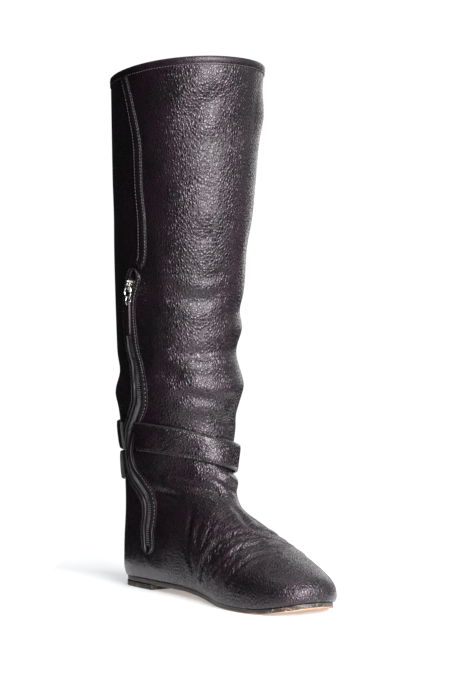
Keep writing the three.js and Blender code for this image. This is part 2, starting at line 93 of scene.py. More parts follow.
deselect()
forward = Vector((math.sin(VIEW_TURN), -math.cos(VIEW_TURN), 0))
right = Vector((math.cos(VIEW_TURN), math.sin(VIEW_TURN), 0))
bpy.ops.mesh.primitive_plane_add(size=1, location=forward * 0.10 + right * 0.09, rotation=(0, 0, VIEW_TURN))
floor = bpy.context.object
floor.scale = (0.50, 1.2, 1)
floor.name = "floor"
floor_paint = bpy.data.materials.new("floor_paint")
floor_paint.use_nodes = True
floor_shader = floor_paint.node_tree.nodes["Principled BSDF"]
floor_shader.inputs["Base Color"].default_value = (0.93, 0.94, 0.95, 1)
floor_shader.inputs["Roughness"].default_value = 0.22
floor_shader.inputs["Specular IOR Level"].default_value = 0.35
floor_shader.inputs["Emission Color"].default_value = (0.96, 0.98, 1, 1)
floor_shader.inputs["Emission Strength"].default_value = 0.3
floor.data.materials.append(floor_paint)
print("floor", tuple(round(v, 2) for v in floor.dimensions))

# %% [markdown]
# ## Light
# Black leather shows its lights rather than its colour. One wide softbox stands in front and draws the
# broad highlight down the shaft. A weaker one overhead catches the instep and the toe, and two dim ones
# keep the lateral side and the back off pure black. The room is white to look at and nearly dark to light
# by, which a world can do with one mix: one background for what the eye sees, another for everything else.

# %% Lights
def softbox(name, turn, distance, height, width, tall, watts, aim=(0, 0, 0.2)):
    """An area light at a turn round the boot from its toe, looking at the aim."""
    light = bpy.data.lights.new(name, "AREA")
    light.shape = "RECTANGLE"
    light.size, light.size_y, light.energy = width, tall, watts
    lamp = bpy.data.objects.new(name, light)
    bpy.context.collection.objects.link(lamp)
    turn = math.radians(turn)
    lamp.location = (math.sin(turn) * distance, -math.cos(turn) * distance, height)
    lamp.rotation_euler = (Vector(aim) - lamp.location).to_track_quat("-Z", "Y").to_euler()
    return lamp


softbox("key_softbox", -3, 2.3, 0.95, 1.9, 1.5, 250)
softbox("top_softbox", 0, 0.0, 2.1, 1.9, 1.9, 34)
softbox("side_panel", 82, 1.8, 0.9, 2.0, 1.6, 8)
softbox("back_softbox", 124, 2.4, 1.0, 1.0, 1.7, 14)

# %% Room
world = bpy.data.worlds.new("studio")
bpy.context.scene.world = world
world.use_nodes = True
nodes, links = world.node_tree.nodes, world.node_tree.links
nodes.clear()
seen, lit = nodes.new("ShaderNodeBackground"), nodes.new("ShaderNodeBackground")
seen.inputs["Color"].default_value, seen.inputs["Strength"].default_value = (1, 1, 1, 1), 1.05
lit.inputs["Color"].default_value, lit.inputs["Strength"].default_value = (0.95, 0.97, 1, 1), 0.03
ray, mix = nodes.new("ShaderNodeLightPath"), nodes.new("ShaderNodeMixShader")
out = nodes.new("ShaderNodeOutputWorld")
links.new(ray.outputs["Is Camera Ray"], mix.inputs["Fac"])
links.new(lit.outputs[0], mix.inputs[1])
links.new(seen.outputs[0], mix.inputs[2])
links.new(mix.outputs[0], out.inputs["Surface"])
bpy.context.scene.view_settings.view_transform = "Standard"
bpy.context.scene.view_settings.look = "None"

# %% [markdown]
# ## Materials
# Each finish is a small node tree. Painted images would need a map of every piece, so the patterns are
# worked out in object coordinates instead. The same few helpers build them all: a texture, a ramp that
# shapes it, and bumps stacked one on another.

# %% Material helpers
class Finish:
    """One material with its Principled shader, and short ways to add the nodes that feed it."""

    def __init__(self, name, color, roughness, **constants):
        self.material = bpy.data.materials.new(name)
        self.material.use_nodes = True
        self.tree = self.material.node_tree
        self.shader = self.tree.nodes["Principled BSDF"]
        self.shader.inputs["Base Color"].default_value = (*color, 1)
        self.shader.inputs["Roughness"].default_value = roughness
        for socket, value in constants.items():
            self.shader.inputs[socket.replace("_", " ")].default_value = value
        self.place = self.tree.nodes.new("ShaderNodeTexCoord").outputs["Object"]
        self.bump = None

    def node(self, kind, inputs=(), **settings):
        """Adds a node; each input is given a value, or a link where it is another node's output."""
        made = self.tree.nodes.new(kind)
        for key, value in settings.items():
            setattr(made, key, value)
        for key, value in dict(inputs).items():
            if isinstance(value, bpy.types.NodeSocket):
                self.tree.links.new(value, made.inputs[key])
            else:
                made.inputs[key].default_value = value
        return made

    def stretched(self, scale, turn=(0, 0, 0)):
        """Object coordinates scaled along each axis: less than 1 draws a pattern out."""
        given = {"Vector": self.place, "Scale": scale, "Rotation": turn}
        return self.node("ShaderNodeMapping", given).outputs[0]

    def noise(self, size, detail=3, rough=0.5, place=None):
        """A noise whose blotches are about as big as the size, in metres."""
        return self.node("ShaderNodeTexNoise", {"Vector": place or self.place, "Scale": 1 / size,
                                                "Detail": detail, "Roughness": rough}).outputs["Fac"]

    def ramp(self, value, low, high, a=0.0, b=1.0):
        """From a to b, smoothly, as the value goes from low to high."""
        return self.node("ShaderNodeMapRange", {0: value, 1: low, 2: high, 3: a, 4: b},
                         interpolation_type="SMOOTHSTEP").outputs[0]

    def combine(self, a, b, operation="ADD"):
        return self.node("ShaderNodeMath", {0: a, 1: b}, operation=operation).outputs[0]

    def mixed(self, factor, a, b):
        return self.node("ShaderNodeMix", {0: factor, 6: a, 7: b}, data_type="RGBA").outputs[2]

    def emboss(self, height, distance, strength=1.0):
        """A bump laid on top of the bumps before it."""
        made = self.node("ShaderNodeBump", {"Height": height, "Distance": distance, "Strength": strength})
        if self.bump:
            self.tree.links.new(self.bump, made.inputs["Normal"])
        self.bump = made.outputs[0]
        self.tree.links.new(self.bump, self.shader.inputs["Normal"])

    def feed(self, socket, value):
        self.tree.links.new(value, self.shader.inputs[socket])


# %% [markdown]
# ## Leather
# The leather is a tumbled calf: small pebbles a couple of millimetres long, parted by fine valleys, drawn
# out up the shaft and across the vamp. They could be sculpted, but millions of faces would go into them. A
# cell texture bent by a little noise gives pebbles of uneven size, and a bump raises them.
#
# The stiff counter round the heel is pulled smooth, so its pebbles are shallow. Across the vamp, where the
# foot bends, fine wrinkles run side by side: they are a noise drawn out across the foot. A wider, very
# shallow noise keeps the surface from reflecting like lacquer.

# %% Leather
SHINE = dict(Specular_IOR_Level=0.36, Specular_Tint=(1, 0.90, 0.98, 1), Coat_Weight=0.05, Coat_Roughness=0.2)


def pebble_cells(finish, pebble, stretch):
    """Distance to the nearest valley between pebbles of uneven size."""
    bent = finish.node("ShaderNodeTexNoise", {"Vector": finish.place, "Scale": 1 / (5 * MM), "Detail": 2})
    sway = finish.node("ShaderNodeVectorMath", {0: bent.outputs["Color"], 1: (1.6 * MM, 1.6 * MM, 1.6 * MM)},
                       operation="MULTIPLY").outputs[0]
    place = finish.node("ShaderNodeVectorMath", {0: finish.stretched(stretch), 1: sway}).outputs[0]
    return finish.node("ShaderNodeTexVoronoi", {"Vector": place, "Scale": 1 / pebble, "Randomness": 0.95},
                       feature="DISTANCE_TO_EDGE").outputs["Distance"]


def within(finish, *edges):
    """1 inside a region of the boot, 0 outside; each edge is an axis and where the region fades in."""
    axes = finish.node("ShaderNodeSeparateXYZ", {"Vector": finish.place}).outputs
    share = 1.0
    for axis, outside, inside in edges:
        share = finish.combine(finish.ramp(axes[axis], outside, inside), share, "MULTIPLY")
    return share


def leather(name, color, roughness, pebble=2.1 * MM, depth=0.30 * MM, stretch=(1, 1, 0.72)):
    finish = Finish(name, color, roughness, **SHINE)
    cells = pebble_cells(finish, pebble, stretch)
    counter = within(finish, ("Y", 0.02, 0.06), ("Z", 0.10, 0.05))
    plain = finish.ramp(counter, 0.0, 1.0, 1.0, 0.25)
    finish.emboss(finish.noise(24 * MM, 2), 1.3 * MM, 0.55)
    finish.emboss(finish.noise(7 * MM, 2), 0.35 * MM, 0.6)
    finish.emboss(finish.ramp(cells, 0.0, 0.34), depth, plain)
    finish.emboss(finish.noise(0.5 * MM, 2), 0.03 * MM, 0.8)

    bend = within(finish, ("Y", -0.085, -0.055), ("Y", 0.012, -0.012), ("Z", 0.085, 0.065))
    across = finish.stretched((0.16, 1, 0.16), (math.radians(22), 0, math.radians(12)))
    wrinkle = finish.combine(finish.noise(3.4 * MM, 2, 0.5, across), 0.5, "SUBTRACT")
    wrinkle = finish.ramp(finish.combine(wrinkle, 0.0, "ABSOLUTE"), 0.0, 0.09)
    finish.emboss(wrinkle, 0.45 * MM, bend)

    tone = finish.ramp(finish.noise(30 * MM, 4), 0.35, 0.7)
    warm = (color[0] * 1.7 + 0.002, color[1] * 1.25, color[2] * 1.5 + 0.001, 1)
    finish.feed("Base Color", finish.mixed(tone, (*color, 1), warm))
    valleys = finish.combine(finish.ramp(cells, 0.02, 0.26, 0.20, 0.0), plain, "MULTIPLY")
    worn = finish.ramp(finish.noise(14 * MM, 3), 0.3, 0.7, roughness - 0.03, roughness + 0.05)
    finish.feed("Roughness", finish.combine(worn, valleys))
    return finish


BLACK = (0.0034, 0.0026, 0.0034)
shell_leather = leather("tumbled_black_leather", BLACK, 0.225, depth=0.25 * MM)
strap_leather = leather("strap_black_leather", BLACK, 0.13, pebble=1.9 * MM, depth=0.22 * MM,
                        stretch=(1.2, 1.2, 0.6))
welt_leather = leather("edge_black_leather", BLACK, 0.3, pebble=1.2 * MM, depth=0.08 * MM)
print("leathers", shell_leather.material.name, strap_leather.material.name, welt_leather.material.name)

# %% [markdown]
# ## The last
# A last is the solid foot a boot is built on. It could be sculpted, but then every later size would have to
# be found by eye. Its form is a row of sections from toe tip to collar, each in the plane through a front
# (or top) point and a back (or bottom) point. Between the rows every size runs smoothly. The same rows
# shaped the CAD upper, so what is laid over it here meets the sole, straps and zip.

# %% Sections of the last
# in millimetres: the front and back points of each section, how far it swells to either side and where its
# middle is; seat is the share of the way from back to front where it is widest; low and high say how square
# it is behind and in front of that
LAST_MIDDLE = np.array([-3.34, -0.89, 0.0])
COLUMNS = ("front_y", "front_z", "back_y", "back_z", "medial", "lateral", "mid", "seat", "low", "high")
SECTIONS = np.array([
    (-130.6, 18.5, -130.6, 14.5, 2, 2, -3, 0.5, 2, 2),
    (-129.0, 23.5, -129.8, 10.5, 11, 11, -3, 0.42, 2.2, 2.1),
    (-123.5, 29.0, -125.0, 7.5, 20, 20.5, -3, 0.36, 2.6, 2.1),
    (-113.0, 34.0, -115.0, 4.0, 29, 30, -2.5, 0.32, 3.2, 2.1),
    (-96.0, 39.5, -97.0, 0.5, 37, 38.5, -2, 0.28, 3.8, 2.1),
    (-75.0, 46.0, -75.0, -1.5, 41.5, 44.5, -1, 0.26, 4, 2.1),
    (-52.0, 54.0, -50.0, -2.0, 41, 47, 0, 0.25, 4, 2.05),
    (-30.0, 64.0, -24.0, 0.0, 36, 44, 0.5, 0.26, 3.6, 1.95),
    (-10.0, 75.0, 6.0, 3.5, 33, 39, 0.5, 0.3, 3.8, 1.9),
    (5.0, 87.0, 44.0, 5.0, 32, 36, 0, 0.34, 4.6, 1.85),
    (12.0, 101.0, 84.0, 4.0, 32, 35, 0, 0.38, 5, 1.95),
    (15.0, 116.0, 120.5, 2.5, 33, 36.5, 0, 0.42, 3.7, 2.05),
    (16.0, 130.0, 130.0, 20.0, 34, 38, 0, 0.46, 2.8, 2.1),
    (15.0, 144.0, 127.5, 58.0, 37, 40.5, 0, 0.49, 2.4, 2.1),
    (13.0, 163.0, 125.0, 102.0, 42, 43.5, 0, 0.5, 2.3, 2.1),
    (12.0, 190.0, 129.0, 148.0, 47, 45.5, 0, 0.5, 2.2, 2.1),
    (12.0, 222.0, 129.0, 194.0, 49, 46, 0, 0.5, 2.2, 2.1),
    (8.5, 264.0, 129.5, 245.0, 51.5, 49.5, 0, 0.5, 2.2, 2.1),
    (2.5, 315.0, 131.0, 303.0, 53.5, 55, 0, 0.5, 2.2, 2.1),
    (-2.0, 375.0, 131.5, 365.0, 55.5, 60, 0, 0.5, 2.2, 2.1),
    (-6.0, 440.0, 131.5, 427.0, 57.5, 65, 0, 0.5, 2.2, 2.1),
])
COLLAR = len(SECTIONS) - 1


def smooth_between(a, b, c, d, t):
    """A curve from b to c, led by the points a before them and d after them."""
    square = 2 * a - 5 * b + 4 * c - d
    cube = 3 * b - a - 3 * c + d
    return 0.5 * (2 * b + (c - a) * t + square * t * t + cube * t ** 3)


def section_sizes(s):
    """Every column at the places s, by a smooth curve through the rows."""
    i = np.clip(np.floor(s).astype(int), 0, COLLAR - 1)
    rows = [SECTIONS[np.clip(i + k, 0, COLLAR)] for k in (-1, 0, 1, 2)]
    return dict(zip(COLUMNS, smooth_between(*rows, (s - i)[:, None]).T))


def last_points(s, angle):
    """Points of the last in millimetres. Angle 0 is front or top, 90 lateral, 180 back or underneath."""
    size = section_sizes(s)
    across, along = np.sin(angle), np.cos(angle)
    power = 2 / np.where(along > 0, size["high"], size["low"])
    half = np.where(across > 0, size["lateral"], size["medial"])
    reach = np.where(along > 0, 1 - size["seat"], size["seat"])
    v = size["seat"] + reach * np.sign(along) * np.abs(along) ** power
    return np.stack([
        size["mid"] + half * np.sign(across) * np.abs(across) ** power,
        size["back_y"] + (size["front_y"] - size["back_y"]) * v,
        size["back_z"] + (size["front_z"] - size["back_z"]) * v], axis=1) + LAST_MIDDLE


def unit(ways):
    return ways / np.linalg.norm(ways, axis=1)[:, None]


def normals_of(surface, s, angle):
    """Outward directions of a surface by small steps along it and round it."""
    ds = np.where(s > COLLAR - 0.05, -0.02, 0.02)
    along = (surface(s + ds, angle) - surface(s, angle)) * np.sign(ds)[:, None]
    around = surface(s, angle + 0.01) - surface(s, angle - 0.01)
    return unit(np.cross(around, along))


print("last has", len(SECTIONS), "sections")

# %% [markdown]
# ## Folds and creases
# A worn boot slouches. The broad waves of the shaft are soft ridges and troughs round the leg. The creases
# are finer: each follows a short line on the leather, a trough with a low ridge on either side, fading at
# its ends. The deepest lie across the vamp where the foot bends, and others gather at the ankle under the
# strap. A cloth simulation would make folds too, but where it liked. Here each one is placed one by one,
# where such a boot is creased. The straps come first, because they press the leather flat under them.

# %% Where the straps hold the leather in
# angle round the leg, height of the strap's middle, clear height above the last
STRAP_WIDTH = 24
LONG_STRAP = [
    (269, 130, 0.7), (290, 129, 0.9), (325, 125, 1.2), (360, 118.5, 1.8), (395, 113, 3.4), (430, 109, 4.4),
    (465, 107.5, 4.4), (500, 106, 4.3), (520, 105, 3.8), (545, 103.5, 3.2), (572, 104, 1.0), (598, 104, 0.7),
]
SHORT_STRAP = [
    (248, 129.5, 0.7), (230, 130, 0.7), (200, 130.5, 0.9), (175, 131, 0.9), (150, 125, 0.9), (120, 115, 0.9),
    (90, 110, 0.9), (62, 110, 0.9),
]


def held(points, degrees):
    """1 under a strap, fading to 0 clear of it."""
    hold = np.zeros(len(points))
    for rows in (LONG_STRAP, SHORT_STRAP):
        rows = np.array(sorted(rows))
        for turn in (degrees, degrees + 360):
            middle = np.interp(turn, rows[:, 0], rows[:, 1], left=-999, right=-999)
            gap = np.abs(points[:, 2] - middle)
            hold = np.maximum(hold, np.clip((STRAP_WIDTH / 2 + 1 - gap) / 4, 0, 1))
    return hold * hold * (3 - 2 * hold)


# %% Folds of the shaft
# at and reach are degrees round the leg, rise is outwards in millimetres, slope is the climb over 90 degrees
FOLD_COLUMNS = ("z", "at", "reach", "width", "rise", "slope")
FOLDS = [
    (392, 15, 60, 24, -2.4, 40), (330, 300, 60, 20, -1.6, 20), (284, 70, 60, 13, 1.2, -14),
    (236, 60, 70, 10, -2.0, 8), (222, 70, 60, 9, 1.6, 6), (200, 50, 80, 12, -3.2, -6),
    (173, 60, 90, 11, 3.4, 6), (186, 250, 60, 10, -2.4, 8), (166, 235, 60, 10, 2.4, 8),
    (146, 40, 80, 9, -1.6, 4), (91, 35, 45, 9, 2.6, -6), (72, 25, 40, 7, -1.8, -14),
]


def fold_height(points, angle):
    height = np.zeros(len(points))
    degrees = np.degrees(angle)
    for row in FOLDS:
        fold = dict(zip(FOLD_COLUMNS, row))
        turn = (degrees - fold["at"] + 540) % 360 - 180
        u = (points[:, 2] - fold["z"] - fold["slope"] * turn / 90) / fold["width"]
        height += fold["rise"] * np.exp(-u * u - (turn / fold["reach"]) ** 2)
    return height


# %% Creases
# depth and width in millimetres; ridge is the height of the swell beside the trough; through gives places.
CREASES = []


def crease(depth, width, ridge, *through):
    CREASES.append((depth, width, ridge, np.array(through, float)))


def smooth_line(points, count):
    """A curve through the points, evenly resampled."""
    points = np.asarray(points, float)
    padded = np.vstack([2 * points[0] - points[1], points, 2 * points[-1] - points[-2]])
    t = np.linspace(0, len(points) - 1, count)
    i = np.clip(t.astype(int), 0, len(points) - 2)
    return smooth_between(*(padded[i + k] for k in range(4)), (t - i)[:, None])


def crease_height(points):
    height = np.zeros(len(points))
    for depth, width, ridge, through in CREASES:
        line = smooth_line(through, 4 * len(through) + 1)
        near = np.linalg.norm(points - line.mean(0), axis=1) < np.ptp(line, axis=0).max() + 6 * width
        p = points[near]
        best, where = np.full(len(p), 1e9), np.zeros(len(p))
        for k, (a, b) in enumerate(zip(line[:-1], line[1:])):
            t = np.clip((p - a) @ (b - a) / ((b - a) @ (b - a)), 0, 1)
            d = np.linalg.norm(p - a - t[:, None] * (b - a), axis=1)
            closer = d < best
            best[closer], where[closer] = d[closer], (k + t[closer]) / (len(line) - 1)
        fade = np.sin(np.pi * np.clip(where * 0.9 + 0.05, 0, 1)) ** 0.7
        trough = -depth * np.exp(-(best / width) ** 2)
        swell = ridge * np.exp(-((best - 2.1 * width) / (1.1 * width)) ** 2)
        height[near] += fade * (trough + swell)
    return height


def slouched(s, angle):
    """The leather's outer surface, folds and creases and all."""
    p = last_points(s, angle)
    rise = fold_height(p - LAST_MIDDLE, angle) + crease_height(p)
    hold = held(p, np.degrees(angle) % 360)
    rise = rise * (1 - hold) + np.minimum(rise, 0.1) * hold
    return p + normals_of(last_points, s, angle) * rise[:, None]


def skin(s, angle, height=0.0):
    """The outer surface grown outwards by a height in millimetres."""
    s, angle = np.atleast_1d(np.asarray(s, float)), np.atleast_1d(np.asarray(angle, float))
    return slouched(s, angle) + normals_of(slouched, s, angle) * np.reshape(height, (-1, 1))


# %% Creases of the vamp, ankle and shaft
# across the vamp, where the foot bends
crease(2.9, 2.3, 1.8, (-12, -42, 57), (-24, -34, 53), (-32, -23, 44), (-36, -17, 31), (-37, -15, 20))
crease(2.7, 2.2, 1.6, (-9, -61, 51), (-22, -57, 48), (-34, -50, 40), (-40, -40, 27))
crease(1.5, 2.4, 1.0, (-8, -80, 45), (-26, -74, 42), (-38, -70, 33), (-44, -64, 23))
crease(1.0, 1.3, 0.5, (-6, -52, 54), (-18, -48, 52), (-28, -42, 46), (-35, -34, 36))
crease(0.9, 1.2, 0.5, (-14, -70, 47), (-26, -66, 44), (-36, -58, 36))
crease(0.9, 1.3, 0.5, (4, -56, 53), (-6, -54, 54), (-14, -51, 53))
crease(0.8, 1.2, 0.4, (10, -72, 47), (-4, -71, 48), (-14, -66, 48))
crease(1.8, 2.6, 1.0, (4, -44, 58), (18, -42, 54), (32, -34, 42), (40, -28, 26))
crease(1.4, 2.8, 0.9, (6, -62, 50), (22, -62, 47), (36, -54, 36), (44, -48, 22))
# down the medial waist
crease(1.2, 2.4, 0.7, (-26, 15, 71), (-30, 13, 57), (-35, 7, 36), (-36, 0, 25))
crease(0.9, 2.0, 0.6, (-25, 1, 65), (-30, 1, 53), (-34, -5, 40))
crease(0.8, 1.8, 0.5, (-22, -10, 64), (-29, -11, 53), (-32, -11, 45))
# round the ankle, under the strap
crease(1.6, 3.2, 1.0, (-15, 16, 105), (0, 7, 94), (13, 8, 82))
crease(1.3, 3.0, 0.9, (-30, 40, 94), (-20, 18, 90), (-9, 4, 85), (-5, -12, 73))
crease(1.6, 3.0, 1.0, (-37, 64, 85), (-33, 47, 83), (-28, 30, 80))
crease(1.2, 2.8, 0.8, (1, -2, 81), (-2, -19, 69), (-4, -36, 61), (2, -45, 57))
crease(1.4, 3.0, 0.8, (18, 12, 84), (30, 32, 82), (33, 56, 86), (30, 84, 84))
crease(1.0, 2.6, 0.6, (12, 124, 92), (-8, 125, 90), (-26, 112, 88))
# broad swells, with a negative depth, and hollows where the slack leather stands off the leg
crease(-4.6, 6.5, 0, (-8, 10, 100), (2, 8, 98), (12, 10, 96), (24, 24, 93), (31, 44, 91))
crease(-3.5, 17, 0, (30, 8, 402), (46, 24, 400), (56, 45, 400))
crease(2.8, 16, 0, (28, 8, 290), (40, 25, 287), (50, 50, 285))
# slack folds of the shaft
crease(1.8, 8, 0.8, (-9, -4, 409), (-23, 0, 403), (-34, 7, 390), (-38, 11, 383))
crease(1.7, 6, 0.8, (-39, 25, 246), (-20, 13, 243), (0, 10, 247))
crease(1.1, 8, 0.3, (-27, 10, 295), (-12, 4, 296))
crease(0.9, 4, 0.4, (-21, 11, 259), (-1, 8, 264))
crease(1.4, 6, 0.5, (-44, 40, 185), (-36, 26, 181), (-31, 21, 177))
crease(1.7, 4.6, 0.9, (16, 15, 163), (-4, 11, 161), (-25, 17, 164), (-35, 27, 165))
crease(1.6, 5, 0.9, (14, 18, 202), (-16, 15, 198), (-33, 25, 198))
crease(1.0, 3.4, 0.6, (16, 21, 141), (0, 16, 140))
crease(2.0, 4.5, 0.8, (-47, 95, 184), (-51, 70, 173))
crease(1.6, 4, 0.6, (-45, 98, 149), (-46, 78, 145))
crease(1.5, 6, 0.6, (44, 60, 190), (36, 100, 196), (14, 122, 192))
crease(1.3, 5, 0.6, (40, 44, 160), (43, 78, 156), (30, 112, 160))
crease(1.6, 7, 0.6, (50, 50, 250), (46, 92, 256), (22, 124, 250))
crease(1.2, 8, 0.5, (52, 84, 340), (30, 122, 352))
print(len(CREASES), "creases")

# %% [markdown]
# ## Sole line
# The upper is turned in under the last and hidden by the sole, so all that shows of it stops at the sole's
# top edge. A cut with a second solid would leave a ragged rim there. A formula for that edge is cleaner,
# and the leather can be brought exactly onto it: flat under the ball, springing up to the toe, and rising
# through a low arch to the heel.

# %% Height of the sole along the foot
SOLE, HEEL_LIFT, GAP, WALL = 4.2, 4.6, 0.3, 2.0
BALL_Y, WAIST_LENGTH, ARCH = -34, 100, 1.6
TREAD_FRONT_Y, SPRING_LENGTH, TOE_SPRING = -88, 44, 7.5


def sole_top(y):
    y = y - LAST_MIDDLE[1]
    t = np.clip((y - BALL_Y) / WAIST_LENGTH, 0, 1)
    waist = HEEL_LIFT * t * t * (3 - 2 * t) + ARCH * np.sin(np.pi * t) ** 2
    spring = TOE_SPRING * np.clip((TREAD_FRONT_Y - y) / SPRING_LENGTH, 0, 1.3) ** 1.8
    return waist + spring + SOLE


print("sole's top at heel, ball and toe", sole_top(np.array([100.0, -60.0, -130.0])).round(1))

# %% [markdown]
# ## Leather shell
# The upper is cut flat and pulled over the last. Here a grid is rolled round the last in the same way: its
# columns run round each section, evenly spaced along the leather, and its rows from toe tip to collar.
# Points below the sole line are lifted onto it, and the window for the zip is cut out afterwards. A
# sculpted lump could have the same outline, but only a surface worked out from the last lets the seams,
# straps and zip lie exactly on it.

# %% Rolling a grid round the last
def distance_along(points):
    return np.concatenate([[0], np.cumsum(np.linalg.norm(np.diff(points, axis=0), axis=1))])


def eased(quarters):
    """Angles after some quarter turns, slow at each quarter, where the sections turn their corners."""
    t = quarters - np.floor(quarters)
    return (np.floor(quarters) + t ** 3 * (t * (6 * t - 15) + 10)) * np.pi / 2


def even_angles(rows, shares):
    """Angles that lie at even shares of the way round each section; rows are sections."""
    steps = np.linspace(0, 4, 481)
    angles = np.empty((len(rows), len(shares)))
    for k, s in enumerate(rows):
        run = distance_along(last_points(np.full(len(steps), s), eased(steps)))
        angles[k] = eased(np.interp(shares * run[-1], run, steps))
    return angles


def rolled_grid(name, around, rows, place, start=0.03, end=COLLAR):
    """A grid primitive with place(s, angle) giving each vertex in millimetres. Its long edges are joined and
    its first row closes in a point."""
    deselect()
    bpy.ops.mesh.primitive_grid_add(x_subdivisions=around, y_subdivisions=rows, size=1)
    piece = bpy.context.object
    piece.name = name
    flat = np.empty(len(piece.data.vertices) * 3)
    piece.data.vertices.foreach_get("co", flat)
    flat = flat.reshape(-1, 3)
    row = np.rint((flat[:, 1] + 0.5) * rows).astype(int)
    column = np.rint((flat[:, 0] + 0.5) * around).astype(int)
    levels = start + (end - start) * np.arange(rows + 1) / rows
    s = levels[row]
    points = place(s, even_angles(levels, np.arange(around + 1) / around)[row, column])
    first = s < start + 1e-6
    points[first] = points[first].mean(axis=0)
    piece.data.vertices.foreach_set("co", (points * MM).ravel())
    bpy.ops.object.mode_set(mode="EDIT")
    bpy.ops.mesh.select_all(action="SELECT")
    bpy.ops.mesh.remove_doubles(threshold=2e-5)
    bpy.ops.mesh.normals_make_consistent(inside=False)
    bpy.ops.object.mode_set(mode="OBJECT")
    bpy.ops.object.shade_smooth()
    return piece


def onto_sole(points):
    """Points under the sole line are lifted onto it."""
    points = points.copy()
    line = sole_top(points[:, 1]) + GAP
    points[:, 2] = np.maximum(points[:, 2], line)
    return points


SHELL_AROUND, SHELL_ROWS = ((250, 360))
shell = rolled_grid("leather_shell", SHELL_AROUND, SHELL_ROWS, lambda s, a: onto_sole(skin(s, a)))
print("shell faces", len(shell.data.polygons))

# %% [markdown]
# ## The zip's line
# The zip climbs the medial side in a lazy S, pushed about by the slack leather. A curve could be drawn in
# space and pressed onto the leather, but it would jump between folds. Instead its line is a short list of
# places in the side view. For each, halving steps find the section of the last that passes through it.
# Above the zip the same seam runs on to the collar.

# %% Lines on the medial side
ZIP_LINE = [
    (69, 31), (70, 42), (70, 52), (67, 64), (68, 77), (76, 88), (86, 97), (91, 108), (90, 121), (82, 135),
    (71, 147), (62, 159), (60, 172), (65, 186), (69, 204), (71, 228), (69, 245), (63, 259), (58, 269),
]
SEAM_LINE = [(55, 271), (50, 279), (49, 306), (52, 331), (51, 371), (58, 402), (67, 428)]


SAMPLES = 400


def side_line(places, count):
    """Evenly spaced points and directions, in the side view, of a curve through [y, z] places of the last."""
    dense = smooth_line([(0, y, z) for y, z in places], 40 * len(places))[:, 1:]
    run = distance_along(dense)
    at = np.linspace(0, run[-1], count)
    points = np.stack([np.interp(at, run, dense[:, k]) for k in (0, 1)], axis=1)
    return points, unit(np.gradient(points, axis=0)), run[-1]


def medial_place(y, z):
    """Section and angle where the medial side of the last passes through y and z, in the last's own axes.

    The section is the one whose line from back to front runs through the place.
    """
    low, high = np.full(len(y), 8.0), np.full(len(y), float(COLLAR))
    for _ in range(40):
        s = (low + high) / 2
        size = section_sizes(s)
        line_y, line_z = size["front_y"] - size["back_y"], size["front_z"] - size["back_z"]
        off_y, off_z = y - size["back_y"], z - size["back_z"]
        above = line_y * off_z - line_z * off_y < 0
        low, high = np.where(above, s, low), np.where(above, high, s)
    v = (off_y * line_y + off_z * line_z) / (line_y ** 2 + line_z ** 2) - size["seat"]
    reach = np.where(v > 0, 1 - size["seat"], size["seat"])
    square = np.where(v > 0, size["high"], size["low"])
    along = np.sign(v) * np.minimum(np.abs(v) / reach, 1) ** (square / 2)
    return s, 2 * np.pi - np.arccos(along)


def beside(places, count, across, height, start=0.0, end=1.0, rounded=0.0):
    """Points beside a line on the medial side: across towards the toe, height above the leather.

    With rounded ends, lines on both sides of the middle close on each other in a half circle.
    """
    points, ways, length = side_line(places, SAMPLES)
    t = np.linspace(start, end, count)
    sample = t * (SAMPLES - 1)
    at, way = (np.stack([np.interp(sample, np.arange(SAMPLES), values[:, k]) for k in (0, 1)], axis=1)
               for values in (points, ways))
    if rounded:
        to_end = np.clip(np.minimum(t, 1 - t) * length / rounded, 0, 1)
        across = across * np.sqrt(1 - (1 - to_end) ** 2)
    s, angle = medial_place(at[:, 0] - across * way[:, 1], at[:, 1] + across * way[:, 0])
    return skin(s, angle, height)


# %% [markdown]
# ## The zip's window
# The zip sits in a slot cut through leather and lining. The faces of the shell inside the slot are picked
# by their place in the side view and deleted. A boolean would trim them more exactly, but it would break up
# the grid, and the cut edge is covered by the folded edges of the leather anyway.

# %% Cutting the window
ZIP_WINDOW = 4.5


def cut_window(piece, half_width):
    """Deletes the faces near the zip's line, which the slot follows to a little short of its ends."""
    line = side_line(ZIP_LINE, 300)[0][10:-9] + LAST_MIDDLE[1:]
    centres = np.empty(len(piece.data.polygons) * 3)
    piece.data.polygons.foreach_get("center", centres)
    centres = centres.reshape(-1, 3) / MM
    near = (centres[:, 0] < -15) & (centres[:, 2] > 25) & (centres[:, 2] < 280)
    inside = np.zeros(len(centres), bool)
    gap = np.linalg.norm(centres[near][:, None, 1:] - line[None], axis=2).min(axis=1)
    inside[np.flatnonzero(near)] = gap < half_width
    make_active(piece)
    for kind in (piece.data.vertices, piece.data.edges):
        kind.foreach_set("select", np.zeros(len(kind), bool))
    piece.data.polygons.foreach_set("select", inside)
    bpy.ops.object.mode_set(mode="EDIT")
    bpy.ops.mesh.select_mode(type="FACE")
    bpy.ops.mesh.delete(type="FACE")
    bpy.ops.object.mode_set(mode="OBJECT")
    return int(inside.sum())


print("window faces cut", cut_window(shell, ZIP_WINDOW))
shell.data.materials.append(shell_leather.material)
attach(shell, "boot")
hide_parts("upper")

# %% [markdown]
# ## Lining
# Inside, the leather is backed by a smooth dark lining. It could be a Solidify modifier on the shell, but
# it has its own leather and no deep creases to show, so it is a second, coarser grid, a wall's thickness in
# from the first. Its faces are turned round to look into the boot.

